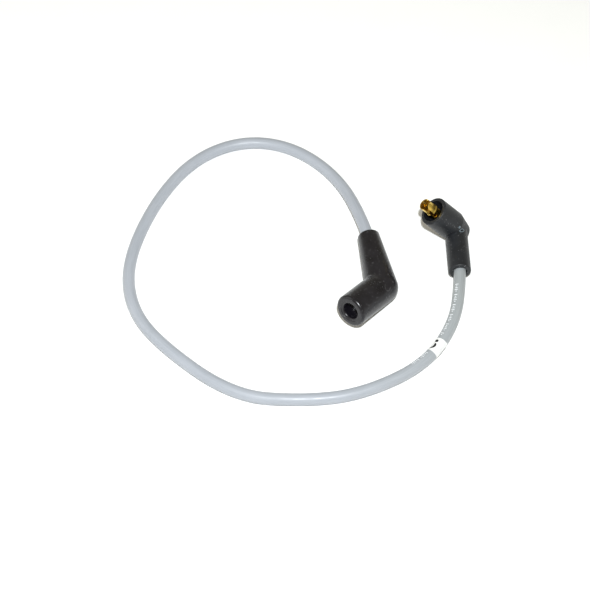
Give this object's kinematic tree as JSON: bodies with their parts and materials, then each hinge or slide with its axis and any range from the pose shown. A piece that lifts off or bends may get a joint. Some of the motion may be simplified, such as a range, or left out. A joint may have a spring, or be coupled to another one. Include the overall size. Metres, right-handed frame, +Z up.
{
  "type": "ignition lead",
  "caption": "High-tension ignition lead: a loop of silicone cable with an obtuse-angled rubber boot for an electrode on one end and a right-angled boot with a snap terminal on the other.",
  "frame": {"origin": "on the surface that the lead lies on, below the middle of the two boots", "axes": "+Z up from that surface; the electrode boot's mouth opens towards -X and -Y, the transformer boot's neck points along -Y"},
  "size_m": [0.2031, 0.1944, 0.0334],
  "materials": {
    "cable_sheath": "satin silicone",
    "glass_braid": "woven",
    "insulation": "satin silicone",
    "conductor": "tinned strand",
    "label_film": "matt film",
    "electrode_boot_rubber": "satin",
    "transformer_boot_rubber": "matt",
    "contact_brass": "bright",
    "spring_wire": "drawn wire"
  },
  "bodies": {
    "cable": {"cable_jacket": "cable_sheath", "cable_glass_braid": "glass_braid", "cable_insulation": "insulation", "cable_conductor": "conductor", "cable_label": "label_film"},
    "electrode_end": {"electrode_boot": "electrode_boot_rubber", "electrode_socket": "contact_brass", "electrode_snap_ring": "spring_wire", "electrode_end_jacket": "cable_sheath", "electrode_end_glass_braid": "glass_braid", "electrode_end_insulation": "insulation", "electrode_end_conductor": "conductor"},
    "transformer_end": {"transformer_boot": "transformer_boot_rubber", "transformer_terminal": "contact_brass", "transformer_end_jacket": "cable_sheath", "transformer_end_glass_braid": "glass_braid", "transformer_end_insulation": "insulation", "transformer_end_conductor": "conductor"}
  },
  "joints": [
    {"name": "electrode_boot_swivel", "type": "hinge", "parent": "cable", "child": "electrode_end", "pos_m": [-0.01876, 0.01507, 0.0096], "axis": [-0.1736, 0.9848, 0], "range_deg": [-16, 160]},
    {"name": "transformer_boot_swivel", "type": "hinge", "parent": "cable", "child": "transformer_end", "pos_m": [0.03158, 0.0095, 0.0084], "axis": [-0.0175, 0.9998, 0], "range_deg": [-45, 125]}
  ]
}
